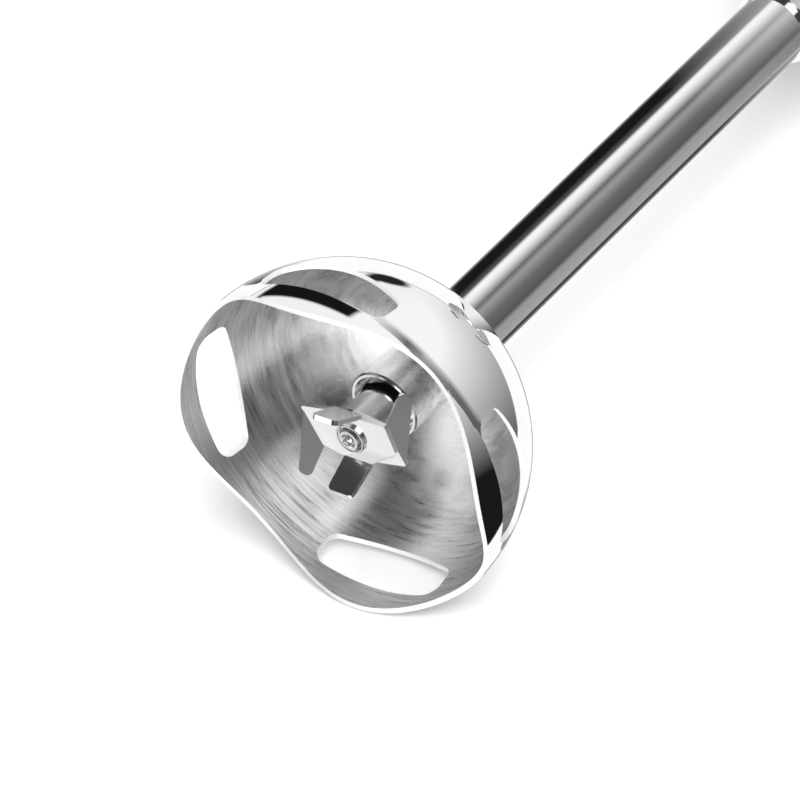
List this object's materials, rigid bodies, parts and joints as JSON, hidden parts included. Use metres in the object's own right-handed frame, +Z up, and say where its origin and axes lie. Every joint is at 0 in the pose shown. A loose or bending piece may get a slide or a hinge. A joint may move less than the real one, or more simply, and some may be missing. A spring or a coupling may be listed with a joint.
{
  "type": "immersion blender",
  "caption": "Hand-held immersion blender: slotted bell guard, winged blade on a driven shaft, detachable steel foot, motor handle with buttons and speed dial.",
  "frame": {"origin": "middle of the lying tool's footprint, on the surface it lies on", "axes": "+Y along the drive axis from the bell's mouth to the handle, +Z up towards the buttons"},
  "size_m": [0.066, 0.389, 0.066],
  "materials": {
    "polished_steel": "mirror polished outside, spun inside",
    "blade_steel": "ground and polished",
    "shaft_steel": "ground",
    "black_rubber": "matt",
    "grip_rubber": "soft matt",
    "bronze": "sintered",
    "dark_plastic": "fine grain",
    "shell_plastic": "satin gloss",
    "button_plastic": "satin",
    "lamination_steel": "stamped stack",
    "copper": "enamelled copper wire",
    "zinc_plate": "die cast",
    "carbon": "pressed graphite",
    "brass": "stamped",
    "board_green": "lacquered laminate",
    "capacitor_yellow": "moulded"
  },
  "bodies": {
    "handle": {"brush_holder_left": "brass", "brush_holder_right": "brass", "carbon_brush_left": "carbon", "carbon_brush_right": "carbon", "circuit_board": "board_green", "cord_inlet_bush": "black_rubber", "coupling_sleeve": "dark_plastic", "damper_ring_lower": "black_rubber", "damper_ring_upper": "black_rubber", "end_cap": "dark_plastic", "field_coil_left": "copper", "field_coil_right": "copper", "front_shell": "shell_plastic", "latch_spring": "shaft_steel", "lower_motor_bearing": "shaft_steel", "lower_motor_bracket": "zinc_plate", "motor_can": "lamination_steel", "power_spring": "shaft_steel", "power_switch": "dark_plastic", "rear_shell": "shell_plastic", "soft_grip": "grip_rubber", "suppression_capacitor": "capacitor_yellow", "turbo_spring": "shaft_steel", "turbo_switch": "dark_plastic", "upper_motor_bearing": "shaft_steel", "upper_motor_bracket": "zinc_plate"},
    "foot": {"bell_guard": "polished_steel", "shaft_tube": "polished_steel", "weld_collar": "polished_steel", "shaft_seal": "black_rubber", "lower_bush": "bronze", "seal_retainer": "shaft_steel", "upper_bush": "bronze", "middle_bush": "bronze", "foot_collar": "shell_plastic", "collar_trim_ring": "polished_steel"},
    "blade_set": {"drive_shaft": "shaft_steel", "hub_sleeve": "blade_steel", "blade_nut": "blade_steel", "blade": "blade_steel", "rear_blade": "blade_steel", "shaft_dog": "dark_plastic", "shaft_circlip": "shaft_steel"},
    "motor": {"rotor_shaft": "shaft_steel", "drive_socket": "dark_plastic", "rotor_core": "lamination_steel", "rotor_winding_front": "copper", "rotor_winding_back": "copper", "commutator": "copper", "cooling_fan": "dark_plastic"},
    "power_button": {"power_button": "button_plastic"},
    "turbo_button": {"turbo_button": "button_plastic"},
    "release_button_right": {"release_button_right": "button_plastic"},
    "release_button_left": {"release_button_left": "button_plastic"},
    "speed_dial": {"speed_dial": "dark_plastic"}
  },
  "joints": [
    {"name": "motor_spin", "type": "hinge", "parent": "handle", "child": "motor", "pos_m": [0, 0.1065, 0.033], "axis": [0, 1, 0], "continuous": true},
    {"name": "foot_slide", "type": "slide", "parent": "handle", "child": "foot", "axis": [0, -1, 0], "range_m": [0, 0.05], "deforming": ["latch_spring"]},
    {"name": "blade_spin", "type": "hinge", "parent": "foot", "child": "blade_set", "pos_m": [0, -0.0935, 0.033], "axis": [0, 1, 0], "continuous": true},
    {"name": "power_button_press", "type": "slide", "parent": "handle", "child": "power_button", "axis": [0, 0, -1], "range_m": [0, 0.002], "stiffness_N_per_m": 700, "springref_m": -0.001, "deforming": ["power_spring"]},
    {"name": "turbo_button_press", "type": "slide", "parent": "handle", "child": "turbo_button", "axis": [0, 0, -1], "range_m": [0, 0.002], "stiffness_N_per_m": 700, "springref_m": -0.001, "deforming": ["turbo_spring"]},
    {"name": "release_right_press", "type": "slide", "parent": "handle", "child": "release_button_right", "axis": [-1, 0, 0], "range_m": [0, 0.0016], "stiffness_N_per_m": 700, "springref_m": -0.001, "deforming": ["latch_spring"]},
    {"name": "release_left_press", "type": "slide", "parent": "handle", "child": "release_button_left", "axis": [1, 0, 0], "range_m": [0, 0.0016], "stiffness_N_per_m": 700, "springref_m": -0.001, "deforming": ["latch_spring"]},
    {"name": "speed_dial_turn", "type": "hinge", "parent": "handle", "child": "speed_dial", "pos_m": [0, 0.1675, 0.033], "axis": [0, 1, 0], "range_deg": [-140, 140]}
  ],
  "couplings": [
    {"joint": "blade_spin", "follows": "motor_spin", "ratio": 1}
  ]
}
